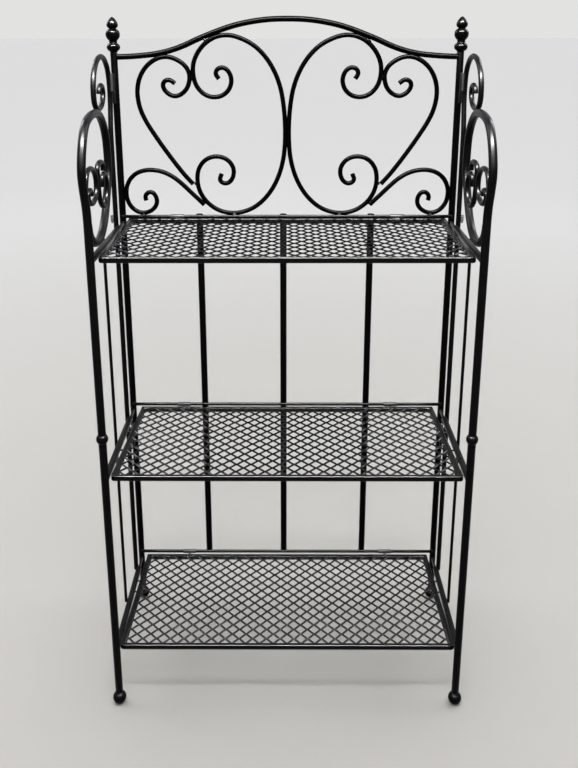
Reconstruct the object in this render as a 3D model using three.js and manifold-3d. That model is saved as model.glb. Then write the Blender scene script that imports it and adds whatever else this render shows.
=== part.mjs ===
// Folding bakers rack: a back frame with an arched, scrolled top, three
// lift-up mesh shelves hinged on the rear rails, and two scrolled side frames
// hinged on the back posts. Millimetres, +Z up, front faces -Y.
import * as THREE from 'three';
import { mergeVertices } from 'three/addons/utils/BufferGeometryUtils.js';
import Module from 'manifold-3d';

const wasm = await Module();
wasm.setup();

// ---------------------------------------------------------------- dimensions
// Depth is written from the front post plane (0) to the back post plane;
// DEPTH_CENTRE moves it so that the whole rack is centred on the origin.
const DEPTH_CENTRE = 145.02;
const BACK_Y = 300;              // back post plane
const BACK_POST_X = 325;
const BACK_POST_R = 6.25;
const BACK_POST_TOP = 1198.7;
const BACK_BAR_R = 6.25;
const BACK_BAR_X = { left: -172.8, centre: -7.4, right: 165.7 };
const ARCH_R = 4.75;
const STRIP_Y = 297.5;           // plane of the scroll strips
const STRIP_R = 3.75;

const RAIL_Y = 290.2;            // rear rails run in front of posts and bars
const RAIL_R = 3.25;
const RAIL_HALF = 324.5;
const LEVEL = { bottom: 120.2, middle: 478.8, top: 881.3 };       // top of each shelf frame
const RAIL_Z = { bottom: 124.5, middle: 481.8, top: 885.8 };

const FRONT_HALF = { bottom: 316, middle: 313, top: 310 };        // half widths: the two
const REAR_HALF = { bottom: 309, middle: 304.5, top: 310 };       // lower shelves taper
const SHELF_FRONT = 9.6;
const SHELF_REAR = 286.4;
const SHELF_BAR = 8;             // width of the frame bar
const SHELF_TALL = 10;           // height of the frame bar
const MESH_THICK = 1;
const MESH_DOWN = 1.6;           // middle of the mesh under the top of the frame
const CLIP_R_IN = 3.55;
const CLIP_R_OUT = 4.9;
const CLIPS = [[-229.5, -202.5], [202.5, 229.5]];        // x ranges of the hinge clips
const TAB_HALF = 3.5;            // half width of the tab that joins a clip to its shelf

const FRONT_POST_X = 320;
const FRONT_POST_R = 6.75;
const RING_LEAN = 0.032;         // the ring leans outwards towards the back
const FOOT_R = 12.5;
const FOOT_FLAT_R = 5;
const FOOT_CENTRE = Math.sqrt(FOOT_R ** 2 - FOOT_FLAT_R ** 2);
const MID_BALL_R = 10.5;
const MID_BALL_Z = 557.5;

const SUPPORT_TOP = { bottom: 113.3, middle: 473.5, top: 877.4 };
const SUPPORT_TALL = 8;
const SUPPORT_X = [317.6, 328];
const SUPPORT_Y = [7.1, 250.9];
const TONGUE_X = [320, 324];
const TONGUE_Y = 285;
const PEG_R = 1.8;
const PEG_X = 303;
const PEGS = { bottom: [176, 210], middle: [85, 124, 195], top: [77, 110] };

const MID_ROD = { x: 331.3, y: 149.7, r: 3 };
const REAR_ROD = { x: 330.6, y: 254.7, r: 4.2 };
const LOOP_START = 1010;

const HINGE_X = 326;             // side frame hinge axis
const HINGE_Y = 284;
const BARREL_R = 3;
const PIN_R = 1.2;
const HINGES = { upper: [1106, 1130, 1162], lower: [385, 409, 441] };

const GAP = 0.3;

// --------------------------------------------------------------- path shapes
// Scroll strips of the back frame: distance from the centre, height.
const OUTER_SCROLL = [
  [211.8, 1141.8], [221.4, 1148.0], [229.6, 1147.1], [234.3, 1141.0], [232.9, 1132.0],
  [223.9, 1122.2], [213.0, 1118.4], [201.5, 1121.5], [190.4, 1131.8], [184.6, 1146.5],
  [184.6, 1160.5], [190.9, 1173.3], [203.6, 1183.7], [220.4, 1190.3], [236.8, 1190.0],
  [252.9, 1183.1], [267.1, 1170.7], [277.4, 1154.1], [282.9, 1134.6], [283.2, 1113.2],
  [278.5, 1091.3], [268.5, 1068.6], [253.3, 1043.5], [235.6, 1016.7], [217.3, 990.9],
  [200.3, 968.6], [183.2, 949.0],
];
const CENTRE_SCROLL = [
  [128.4, 1150.1], [134.2, 1160.2], [130.3, 1168.5], [119.6, 1170.7], [109.5, 1162.8],
  [105.1, 1147.1], [110.0, 1130.9], [122.6, 1119.7], [140.4, 1116.4], [157.2, 1122.3],
  [170.7, 1137.1], [176.7, 1158.0], [175.4, 1180.1], [165.2, 1201.6], [148.5, 1218.6],
  [129.1, 1228.0], [107.1, 1229.8], [82.2, 1222.6], [58.9, 1209.1], [39.1, 1188.9],
  [23.6, 1163.7], [12.6, 1134.3], [6.6, 1101.5], [3.8, 1066.5], [3.8, 1032.3],
  [6.9, 999.7], [14.8, 969.3], [27.9, 941.2], [45.4, 918.4], [66.1, 902.0],
  [89.8, 893.0], [114.5, 891.7], [137.2, 898.6], [156.6, 913.1], [169.7, 933.2],
  [174.6, 955.4], [172.0, 977.0], [161.7, 993.3], [146.0, 1001.9], [127.2, 1002.0],
  [112.2, 993.6], [104.1, 979.2], [105.3, 963.2], [113.6, 952.2], [123.7, 951.0],
  [130.6, 957.4], [127.1, 969.4],
];
const LOWER_SCROLL = [
  [276.5, 916.7], [277.7, 925.1], [272.2, 932.0], [264.7, 932.7], [257.9, 925.4],
  [255.8, 913.2], [260.8, 902.1], [272.4, 893.9], [286.2, 892.0], [299.6, 897.5],
  [310.0, 909.6], [314.5, 925.0], [313.6, 942.2], [306.3, 958.3], [294.1, 969.7],
  [277.3, 975.9], [257.4, 976.4], [236.7, 971.0], [218.0, 960.3], [200.0, 944.6],
  [184.4, 929.2], [173.4, 918.6], [162.5, 907.6],
];
const ARCH = [
  [0, 1259.3], [46, 1257.1], [100, 1247.0], [162, 1225.0], [194, 1211.0], [219, 1202.4],
  [247, 1196.1], [275, 1193.0], [303, 1191.2], [318.3, 1190.8],
];
// Side frame shapes: depth, height.
const RING = [
  [0, 952], [-4, 971], [-11.5, 995], [-16.5, 1022], [-9.5, 1049], [7, 1076], [30, 1094],
  [58, 1102], [100, 1105], [140, 1100.5], [165, 1088], [182, 1073], [196, 1050],
  [201, 1018], [199, 993], [190, 974], [175, 955], [160, 936], [138, 915], [110, 899],
  [83, 893], [52, 895], [25, 906], [7, 921], [1.5, 938],
];
const LOOP = [
  [254.7, 1058], [259.5, 1082], [264, 1105], [265.5, 1128], [263.5, 1151], [256.5, 1169],
  [245, 1181], [230, 1189.5], [205, 1194.5], [176, 1189], [153, 1175], [140.5, 1158],
  [135.5, 1138.5], [137.5, 1121.5], [148, 1110.3], [169, 1106.8], [190, 1110.5], [203, 1120.5],
  [207.5, 1132], [202.5, 1142], [191, 1145], [180.5, 1140.5], [177.5, 1132],
];
const REAR_STRIP = [
  [137, 1003], [137, 1013], [129, 1019], [118.5, 1021], [103, 1020], [94.6, 1012],
  [95.3, 999], [96.3, 987], [97, 975], [100.2, 962], [108, 951], [119, 944], [132, 942],
  [146, 946.5], [156, 957], [160, 970], [157.5, 984], [149, 994], [138, 997.5],
  [128.5, 994], [124.5, 985.5], [127, 978],
];
const FRONT_STRIP = [
  [6.2, 969], [11.4, 985], [20, 1008], [31, 1018.5], [51, 1021], [71, 1015], [84, 1004],
  [88.0, 993], [86.2, 980], [75, 967.5], [52, 962.5], [31, 970.5], [26.5, 980.5], [34, 986.5],
  [46, 985], [47.5, 976],
];
const REAR_STRIP_X = 321.4;      // planes of the side strips
const FRONT_STRIP_X = 323;

// ------------------------------------------------------------------- helpers
const DARK = 0x17181b;
const rack = new THREE.Group();
rack.name = 'bakers_rack';

function addPart(name, geometry, color = DARK, roughness = 0.4) {
  const material = new THREE.MeshStandardMaterial({ color, roughness, metalness: 0.3 });
  material.name = `${name}_finish`;
  const mesh = new THREE.Mesh(geometry, material);
  mesh.name = name;
  rack.add(mesh);
}

const at = (x, y, z) => new THREE.Vector3(x, y - DEPTH_CENTRE, z);

function toSolid(geometry) {
  const bare = new THREE.BufferGeometry();
  bare.setAttribute('position', geometry.getAttribute('position').clone());
  if (geometry.index) bare.setIndex(geometry.index.clone());
  const welded = mergeVertices(bare, 1e-4);
  const index = Array.from(welded.index.array);
  const keep = [];
  for (let i = 0; i < index.length; i += 3) {
    const [a, b, c] = [index[i], index[i + 1], index[i + 2]];
    if (a !== b && b !== c && a !== c) keep.push(a, b, c);
  }
  return new wasm.Manifold(new wasm.Mesh({
    numProp: 3,
    vertProperties: Float32Array.from(welded.getAttribute('position').array),
    triVerts: Uint32Array.from(keep),
  }));
}

function toGeometry(solid) {
  const mesh = solid.getMesh();
  const geometry = new THREE.BufferGeometry();
  geometry.setAttribute('position', new THREE.BufferAttribute(Float32Array.from(mesh.vertProperties), 3));
  geometry.setIndex(new THREE.BufferAttribute(Uint32Array.from(mesh.triVerts), 1));
  geometry.computeVertexNormals();
  return geometry;
}

const join = (...geometries) => toGeometry(
  geometries.map(toSolid).reduce((sum, next) => sum.add(next)));
const cut = (base, ...tools) => toGeometry(
  tools.map(toSolid).reduce((left, tool) => left.subtract(tool), toSolid(base)));

// Stations along a bent rod: close together where it turns, far apart where
// it runs straight.
class StationPath extends THREE.Curve {
  constructor(stations) {
    super();
    this.stations = stations;
  }
  station(u) {
    return this.stations[Math.round(u * (this.stations.length - 1))];
  }
  getPoint(t, target = new THREE.Vector3()) { return target.copy(this.station(t).point); }
  getPointAt(u, target = new THREE.Vector3()) { return target.copy(this.station(u).point); }
  getTangentAt(u, target = new THREE.Vector3()) { return target.copy(this.station(u).tangent); }
}

function bentStations(points, turn = 16, reach = 80) {
  const curve = new THREE.CatmullRomCurve3(points, false, 'centripetal');
  const fine = 900;
  const spots = curve.getSpacedPoints(fine);
  const heading = (i) => spots[Math.min(i + 1, fine)].clone().sub(spots[Math.max(i - 1, 0)]).normalize();
  const stations = [{ point: spots[0], tangent: heading(0) }];
  let last = heading(0);
  let turned = 0;
  let run = 0;
  for (let i = 1; i <= fine; i += 1) {
    const here = heading(i);
    turned += last.angleTo(here);
    run += spots[i].distanceTo(spots[i - 1]);
    last = here;
    if (i === fine || turned > THREE.MathUtils.degToRad(turn) || run > reach) {
      stations.push({ point: spots[i], tangent: here });
      turned = 0;
      run = 0;
    }
  }
  return stations;
}

function roundShape(radius, sides) {
  const corners = [];
  for (let i = 0; i < sides; i += 1) {
    const a = ((i + 0.5) / sides) * Math.PI * 2;
    corners.push(new THREE.Vector2(radius * Math.cos(a), radius * Math.sin(a)));
  }
  return new THREE.Shape(corners);
}

function bentRod(stations, radius, sides = 8) {
  return new THREE.ExtrudeGeometry(roundShape(radius, sides), {
    steps: stations.length - 1,
    extrudePath: new StationPath(stations),
  });
}

const straightRod = (from, to, radius, sides = 12) => {
  const tangent = to.clone().sub(from).normalize();
  return bentRod([{ point: from, tangent }, { point: to, tangent }], radius, sides);
};

function box(x0, x1, y0, y1, z0, z1) {
  const geometry = new THREE.BoxGeometry(Math.abs(x1 - x0), Math.abs(y1 - y0), Math.abs(z1 - z0));
  geometry.translate((x0 + x1) / 2, (y0 + y1) / 2 - DEPTH_CENTRE, (z0 + z1) / 2);
  return geometry;
}

// Turned part on a vertical axis: [radius, height] from the bottom up.
function turned(x, y, profile, sides = 14) {
  const geometry = new THREE.LatheGeometry(profile.map(([r, z]) => new THREE.Vector2(r, z)), sides);
  geometry.rotateX(Math.PI / 2);
  geometry.translate(x, y - DEPTH_CENTRE, 0);
  return toGeometry(toSolid(geometry));
}

function ballArc(radius, centre, fromR, toR, steps) {
  const start = -Math.acos(fromR / radius);
  const end = Math.acos(toR / radius);
  const arc = [];
  for (let i = 0; i <= steps; i += 1) {
    const a = start + ((end - start) * i) / steps;
    arc.push([radius * Math.cos(a), centre + radius * Math.sin(a)]);
  }
  return arc;
}

function foot(x, y, postR) {
  const bore = postR + GAP;
  return turned(x, y, [
    [0, 0], ...ballArc(FOOT_R, FOOT_CENTRE, FOOT_FLAT_R, bore, 7), [bore, 14], [0, 14],
  ]);
}

const sides = { left: -1, right: 1 };
const levels = ['bottom', 'middle', 'top'];

// ---------------------------------------------------------------- back frame
for (const [side, s] of Object.entries(sides)) {
  addPart(`back_post_${side}`, turned(s * BACK_POST_X, BACK_Y, [
    [0, 14.3], [BACK_POST_R, 14.3], [BACK_POST_R, BACK_POST_TOP],
    [4.3, BACK_POST_TOP], [4.3, BACK_POST_TOP - 14], [0, BACK_POST_TOP - 14],
  ]));
  addPart(`finial_${side}`, turned(s * BACK_POST_X, BACK_Y, [
    [0, 1185.4], [4, 1185.4], [4, 1199], [7.2, 1199], [7.4, 1201.4], [11.4, 1204], [12.2, 1208.4],
    [11.2, 1212.8], [7.3, 1216], [7.6, 1220.4], [12, 1226.4], [13, 1232.4], [10.6, 1239],
    [6.3, 1241.8], [10, 1245.8], [9.6, 1252], [4.6, 1260], [0, 1263],
  ]));
  addPart(`back_foot_${side}`, foot(s * BACK_POST_X, BACK_Y, BACK_POST_R));
}

addPart('arch_rail', bentRod(bentStations([
  ...ARCH.slice(1).reverse().map(([x, z]) => at(-x, BACK_Y, z)),
  ...ARCH.map(([x, z]) => at(x, BACK_Y, z)),
], 6, 90), ARCH_R, 12));

for (const [place, x] of Object.entries(BACK_BAR_X)) {
  addPart(`back_bar_${place}`, straightRod(
    at(x, BACK_Y, RAIL_Z.bottom - 5), at(x, BACK_Y, RAIL_Z.top + 3), BACK_BAR_R, 14));
}

for (const level of levels) {
  addPart(`rear_rail_${level}`, straightRod(
    at(-RAIL_HALF, RAIL_Y, RAIL_Z[level]), at(RAIL_HALF, RAIL_Y, RAIL_Z[level]), RAIL_R, 14));
}

for (const [side, s] of Object.entries(sides)) {
  const strip = (shape) => bentRod(
    bentStations(shape.map(([x, z]) => at(s * x, STRIP_Y, z)), 24, 80), STRIP_R, 8);
  addPart(`outer_scroll_${side}`, strip(OUTER_SCROLL));
  addPart(`centre_scroll_${side}`, strip(CENTRE_SCROLL));
  addPart(`lower_scroll_${side}`, strip(LOWER_SCROLL));
}

// ------------------------------------------------------------------- shelves
// Half width of a shelf at a depth.
function shelfHalf(level, y) {
  const t = (y - SHELF_FRONT) / (SHELF_REAR - SHELF_FRONT);
  return FRONT_HALF[level] + (REAR_HALF[level] - FRONT_HALF[level]) * t;
}

// Outline of a shelf, a given distance inside its outer edge.
function shelfCorners(level, inset) {
  const [y0, y1] = [SHELF_FRONT + inset, SHELF_REAR - inset];
  const [w0, w1] = [y0, y1].map((y) => shelfHalf(level, y) - inset);
  return [[-w1, y1], [-w0, y0], [w0, y0], [w1, y1]].map(([x, y]) => new THREE.Vector2(x, y - DEPTH_CENTRE));
}

function shelfFrame(level) {
  const [rearLeft, frontLeft, frontRight, rearRight] = shelfCorners(level, 0);
  const round = 6;
  const outline = new THREE.Shape();
  outline.moveTo(rearLeft.x, rearLeft.y);
  for (const [corner, a0] of [[frontLeft, Math.PI], [frontRight, Math.PI * 1.5]]) {
    const cx = corner.x - Math.sign(corner.x) * round;
    for (let i = 0; i <= 3; i += 1) {
      const a = a0 + (i / 3) * (Math.PI / 2);
      outline.lineTo(cx + round * Math.cos(a), corner.y + round + round * Math.sin(a));
    }
  }
  outline.lineTo(rearRight.x, rearRight.y);
  outline.closePath();
  outline.holes.push(new THREE.Path(shelfCorners(level, SHELF_BAR)));
  const geometry = new THREE.ExtrudeGeometry(outline, { depth: SHELF_TALL, bevelEnabled: false });
  geometry.translate(0, 0, LEVEL[level] - SHELF_TALL);
  return toGeometry(toSolid(geometry));
}

function shelfMesh(level) {
  const sheet = new THREE.ExtrudeGeometry(
    new THREE.Shape(shelfCorners(level, SHELF_BAR + GAP)), { depth: MESH_THICK, bevelEnabled: false });
  sheet.translate(0, 0, LEVEL[level] - MESH_DOWN - MESH_THICK / 2);
  return toGeometry(toSolid(sheet));
}

function hingeClip(level, [x0, x1]) {
  const xm = (x0 + x1) / 2;
  const z = RAIL_Z[level];
  const strap = LEVEL[level] + GAP;
  return cut(
    join(
      straightRod(at(x0, RAIL_Y, z), at(x1, RAIL_Y, z), CLIP_R_OUT, 14),
      box(xm - TAB_HALF, xm + TAB_HALF, SHELF_REAR - SHELF_BAR, RAIL_Y - 1.5, strap, strap + 1.6),
    ),
    straightRod(at(x0 - 5, RAIL_Y, z), at(x1 + 5, RAIL_Y, z), CLIP_R_IN / Math.cos(Math.PI / 14), 14),
    box(x0 - 5, x1 + 5, SHELF_REAR - 20, SHELF_REAR + GAP, strap - 20, strap),
  );
}

for (const level of levels) {
  addPart(`${level}_shelf_frame`, shelfFrame(level));
  addPart(`${level}_shelf_mesh`, shelfMesh(level), 0x1c1d20, 0.5);
  addPart(`${level}_clip_left`, hingeClip(level, CLIPS[0]), 0x3a3b3f, 0.35);
  addPart(`${level}_clip_right`, hingeClip(level, CLIPS[1]), 0x3a3b3f, 0.35);
}

// --------------------------------------------------------------- side frames
function frontPost(s) {
  const post = straightRod(
    at(s * FRONT_POST_X, 0, 14.3), at(s * FRONT_POST_X, 0, 955), FRONT_POST_R, 12);
  const ring = RING.map(([y, z]) => at(s * (FRONT_POST_X + RING_LEAN * Math.max(y, 0)), y, z));
  return join(post, bentRod(bentStations(ring, 17, 60), FRONT_POST_R - 0.05, 10));
}

function supportBar(level, s) {
  const z1 = SUPPORT_TOP[level];
  const z0 = z1 - SUPPORT_TALL;
  const pegZ = LEVEL[level] - SHELF_TALL - 0.2 - PEG_R;
  return join(
    box(s * SUPPORT_X[0], s * SUPPORT_X[1], SUPPORT_Y[0], SUPPORT_Y[1], z0, z1),
    box(s * TONGUE_X[0], s * TONGUE_X[1], SUPPORT_Y[1] - 2, TONGUE_Y, z0, z1),
    ...PEGS[level].map((y) => straightRod(
      at(s * PEG_X, y, pegZ), at(s * (SUPPORT_X[0] + 1), y, pegZ), PEG_R, 8)),
  );
}

function rearRod(s) {
  const rod = straightRod(
    at(s * REAR_ROD.x, REAR_ROD.y, SUPPORT_TOP.bottom - SUPPORT_TALL),
    at(s * REAR_ROD.x, REAR_ROD.y, LOOP_START), REAR_ROD.r, 10);
  const lug = new THREE.Shape();
  const x = REAR_ROD.x;
  [[x + 2, 885], [x + 6.5, 880], [x + 8.4, 881.5], [x + 10, 887], [x + 10, 897], [x + 2, 897]]
    .forEach(([px, pz], i) => (i ? lug.lineTo(s * px, pz) : lug.moveTo(s * px, pz)));
  lug.closePath();
  const plate = new THREE.ExtrudeGeometry(lug, { depth: 3, bevelEnabled: false });
  plate.rotateX(Math.PI / 2);
  plate.translate(0, REAR_ROD.y + 1.5 - DEPTH_CENTRE, 0);
  return join(rod, plate);
}

// The rod's curled top, a node of its own so that its collision stays open.
function rearLoop(s) {
  const loop = bentStations([[REAR_ROD.y, LOOP_START + GAP], ...LOOP]
    .map(([y, z]) => at(s * REAR_ROD.x, y, z)), 20, 70);
  loop[0].tangent = new THREE.Vector3(0, 0, 1);
  return bentRod(loop, REAR_ROD.r, 8);
}

// The two curled strips in the ring, with the weld where they touch.
function ringStrips(s) {
  return join(
    bentRod(bentStations(REAR_STRIP.map(([y, z]) => at(s * REAR_STRIP_X, y, z)), 24, 60), STRIP_R, 8),
    bentRod(bentStations(FRONT_STRIP.map(([y, z]) => at(s * FRONT_STRIP_X, y, z)), 24, 60), STRIP_R, 8),
    box(s * 320.4, s * 324, 87.5, 96, 989.5, 996),
  );
}

function fixedHinge(place, s) {
  const [z0, zj, z1] = HINGES[place];
  return join(
    straightRod(at(s * HINGE_X, HINGE_Y, z0), at(s * HINGE_X, HINGE_Y, zj), BARREL_R, 12),
    straightRod(at(s * HINGE_X, HINGE_Y, zj - 1), at(s * HINGE_X, HINGE_Y, z1), PIN_R, 10),
    box(s * (HINGE_X - 1), s * (HINGE_X + 1), HINGE_Y, 293.4, z0, zj),
  );
}

function movingHinge(place, s) {
  const [, zj, z1] = HINGES[place];
  return cut(
    join(
      straightRod(at(s * HINGE_X, HINGE_Y, zj + GAP), at(s * HINGE_X, HINGE_Y, z1), BARREL_R, 12),
      box(s * (HINGE_X - 1.9), s * (HINGE_X + 0.1), REAR_ROD.y - 2, HINGE_Y, zj + GAP, z1),
    ),
    straightRod(at(s * HINGE_X, HINGE_Y, zj - 5), at(s * HINGE_X, HINGE_Y, z1 + 5), PIN_R + 0.35, 10),
  );
}

for (const [side, s] of Object.entries(sides)) {
  addPart(`front_post_${side}`, frontPost(s));
  addPart(`front_foot_${side}`, foot(s * FRONT_POST_X, 0, FRONT_POST_R));
  const bore = FRONT_POST_R + GAP;
  const band = ballArc(MID_BALL_R, MID_BALL_Z, bore, bore, 6);
  addPart(`post_ball_${side}`, turned(s * FRONT_POST_X, 0, [...band, band[0]]));
  for (const level of levels) addPart(`${level}_support_${side}`, supportBar(level, s));
  addPart(`mid_rod_${side}`, straightRod(
    at(s * MID_ROD.x, MID_ROD.y, SUPPORT_TOP.bottom - SUPPORT_TALL),
    at(s * MID_ROD.x, MID_ROD.y, SUPPORT_TOP.top), MID_ROD.r, 10));
  addPart(`rear_rod_${side}`, rearRod(s));
  addPart(`rear_loop_${side}`, rearLoop(s));
  addPart(`ring_strips_${side}`, ringStrips(s));
  for (const place of Object.keys(HINGES)) {
    addPart(`${place}_hinge_post_${side}`, fixedHinge(place, s), 0x2b2c30, 0.35);
    addPart(`${place}_hinge_leaf_${side}`, movingHinge(place, s), 0x2b2c30, 0.35);
  }
}

export default rack;
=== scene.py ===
import math
import random

import bmesh
import bpy
import numpy as np
from mathutils import Matrix, Vector, noise


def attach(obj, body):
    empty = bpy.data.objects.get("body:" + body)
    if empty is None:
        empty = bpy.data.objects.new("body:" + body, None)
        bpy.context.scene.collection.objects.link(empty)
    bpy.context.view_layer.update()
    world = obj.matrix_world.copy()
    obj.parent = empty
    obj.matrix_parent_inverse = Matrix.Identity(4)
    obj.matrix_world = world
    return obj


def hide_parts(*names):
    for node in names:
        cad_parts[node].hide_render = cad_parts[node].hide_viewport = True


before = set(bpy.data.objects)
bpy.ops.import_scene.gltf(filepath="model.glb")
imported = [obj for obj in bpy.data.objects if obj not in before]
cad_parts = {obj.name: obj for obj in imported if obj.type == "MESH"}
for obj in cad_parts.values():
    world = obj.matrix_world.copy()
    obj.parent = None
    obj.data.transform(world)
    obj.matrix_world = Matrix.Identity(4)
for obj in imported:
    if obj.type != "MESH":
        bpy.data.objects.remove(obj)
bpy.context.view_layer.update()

# Lengths below are millimetres until a mesh is made. "Depth" runs from the
# front post plane (0) to the back post plane (300).
DEPTH_CENTRE = 145.02
BACK_Y = 300.0
BACK_POST_X = 325.0
BACK_POST_R = 6.55
BACK_POST_TOP = 1198.7
BACK_BAR_R = 6.65
BACK_BAR_X = {"left": -172.8, "centre": -7.4, "right": 165.7}
ARCH_R = 5.35
STRIP_Y = 297.5
STRIP_R = 4.42
RAIL_Y = 290.2
RAIL_R = 3.32
RAIL_HALF = 324.5
LEVEL = {"bottom": 120.2, "middle": 478.8, "top": 881.3}          # top of each shelf frame
RAIL_Z = {"bottom": 124.5, "middle": 481.8, "top": 885.8}
FRONT_HALF = {"bottom": 316.0, "middle": 313.0, "top": 310.0}     # half widths: the two
REAR_HALF = {"bottom": 309.0, "middle": 304.5, "top": 310.0}      # lower shelves taper
SHELF_FRONT = 9.6
SHELF_REAR = 286.4
SHELF_BAR = 8.0
SHELF_TALL = 10.0
SUPPORT_TOP = {"bottom": 113.3, "middle": 473.5, "top": 877.4}
CLIPS = {"left": (-229.5, -202.5), "right": (202.5, 229.5)}
FRONT_POST_X = 320.0
FRONT_POST_R = 7.0
RING_LEAN = 0.032
FOOT_R = 12.5
MID_BALL_R = 10.5
MID_BALL_Z = 557.5
PEGS = {"bottom": [176, 210], "middle": [85, 124, 195], "top": [77, 110]}
HINGE_X = 326.0
HINGE_Y = 284.0
HINGES = {"upper": (1106, 1130, 1162), "lower": (385, 409, 441)}
SIDES = {"left": -1, "right": 1}
LEVELS = ["bottom", "middle", "top"]

OUTER_SCROLL = [
    (211.8, 1141.8), (221.4, 1148.0), (229.6, 1147.1), (234.3, 1141.0), (232.9, 1132.0),
    (223.9, 1122.2), (213.0, 1118.4), (201.5, 1121.5), (190.4, 1131.8), (184.6, 1146.5),
    (184.6, 1160.5), (190.9, 1173.3), (203.6, 1183.7), (220.4, 1190.3), (236.8, 1190.0),
    (252.9, 1183.1), (267.1, 1170.7), (277.4, 1154.1), (282.9, 1134.6), (283.2, 1113.2),
    (278.5, 1091.3), (268.5, 1068.6), (253.3, 1043.5), (235.6, 1016.7), (217.3, 990.9),
    (200.3, 968.6), (183.2, 949.0),
]
CENTRE_SCROLL = [
    (128.4, 1150.1), (134.2, 1160.2), (130.3, 1168.5), (119.6, 1170.7), (109.5, 1162.8),
    (105.1, 1147.1), (110.0, 1130.9), (122.6, 1119.7), (140.4, 1116.4), (157.2, 1122.3),
    (170.7, 1137.1), (176.7, 1158.0), (175.4, 1180.1), (165.2, 1201.6), (148.5, 1218.6),
    (129.1, 1228.0), (107.1, 1229.8), (82.2, 1222.6), (58.9, 1209.1), (39.1, 1188.9),
    (23.6, 1163.7), (12.6, 1134.3), (6.6, 1101.5), (3.8, 1066.5), (3.8, 1032.3),
    (6.9, 999.7), (14.8, 969.3), (27.9, 941.2), (45.4, 918.4), (66.1, 902.0),
    (89.8, 893.0), (114.5, 891.7), (137.2, 898.6), (156.6, 913.1), (169.7, 933.2),
    (174.6, 955.4), (172.0, 977.0), (161.7, 993.3), (146.0, 1001.9), (127.2, 1002.0),
    (112.2, 993.6), (104.1, 979.2), (105.3, 963.2), (113.6, 952.2), (123.7, 951.0),
    (130.6, 957.4), (127.1, 969.4),
]
LOWER_SCROLL = [
    (276.5, 916.7), (277.7, 925.1), (272.2, 932.0), (264.7, 932.7), (257.9, 925.4),
    (255.8, 913.2), (260.8, 902.1), (272.4, 893.9), (286.2, 892.0), (299.6, 897.5),
    (310.0, 909.6), (314.5, 925.0), (313.6, 942.2), (306.3, 958.3), (294.1, 969.7),
    (277.3, 975.9), (257.4, 976.4), (236.7, 971.0), (218.0, 960.3), (200.0, 944.6),
    (184.4, 929.2), (173.4, 918.6), (162.5, 907.6),
]
ARCH = [
    (0, 1259.3), (46, 1257.1), (100, 1247.0), (162, 1225.0), (194, 1211.0), (219, 1202.4),
    (247, 1196.1), (275, 1193.0), (303, 1191.2), (318.9, 1190.8),
]
RING = [
    (0, 860), (0, 900), (0, 930), (-0.5, 950), (-4, 971), (-11.5, 995), (-16.5, 1022), (-9.5, 1049),
    (7, 1076), (30, 1094), (58, 1102), (100, 1105), (140, 1100.5), (165, 1088), (182, 1073),
    (196, 1050), (201, 1018), (199, 993), (190, 974), (175, 955), (160, 936), (138, 915),
    (110, 899), (83, 893), (52, 895), (25, 906), (7, 921), (1.5, 938),
]
LOOP = [
    (254.7, 980), (254.7, 1030), (255.2, 1058), (259.5, 1082), (264, 1105), (265.5, 1128),
    (263.5, 1151), (256.5, 1169), (245, 1181), (230, 1189.5), (205, 1194.5), (176, 1189),
    (153, 1175), (140.5, 1158), (135.5, 1138.5), (137.5, 1121.5), (148, 1110.3), (169, 1106.8),
    (190, 1110.5), (203, 1120.5), (207.5, 1132), (202.5, 1142), (191, 1145), (180.5, 1140.5),
    (177.5, 1132),
]
REAR_STRIP = [
    (137, 1003), (137, 1013), (129, 1019), (118.5, 1021), (103, 1020), (94.6, 1012),
    (95.3, 999), (96.3, 987), (97, 975), (100.2, 962), (108, 951), (119, 944), (132, 942),
    (146, 946.5), (156, 957), (160, 970), (157.5, 984), (149, 994), (138, 997.5),
    (128.5, 994), (124.5, 985.5), (127, 978),
]
FRONT_STRIP = [
    (6.2, 969), (11.4, 985), (20, 1008), (31, 1018.5), (51, 1021), (71, 1015), (84, 1004),
    (88.0, 993), (86.2, 980), (75, 967.5), (52, 962.5), (31, 970.5), (26.5, 980.5), (34, 986.5),
    (46, 985), (47.5, 976),
]
REAR_STRIP_X = 321.4
FRONT_STRIP_X = 323.0
REAR_ROD_X, REAR_ROD_Y, REAR_ROD_R = 329.3, 254.7, 4.75
MID_ROD_X, MID_ROD_Y, MID_ROD_R = 331.3, 149.7, 3.0


def at(x, y, z):
    return Vector((x, y - DEPTH_CENTRE, z))


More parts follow.
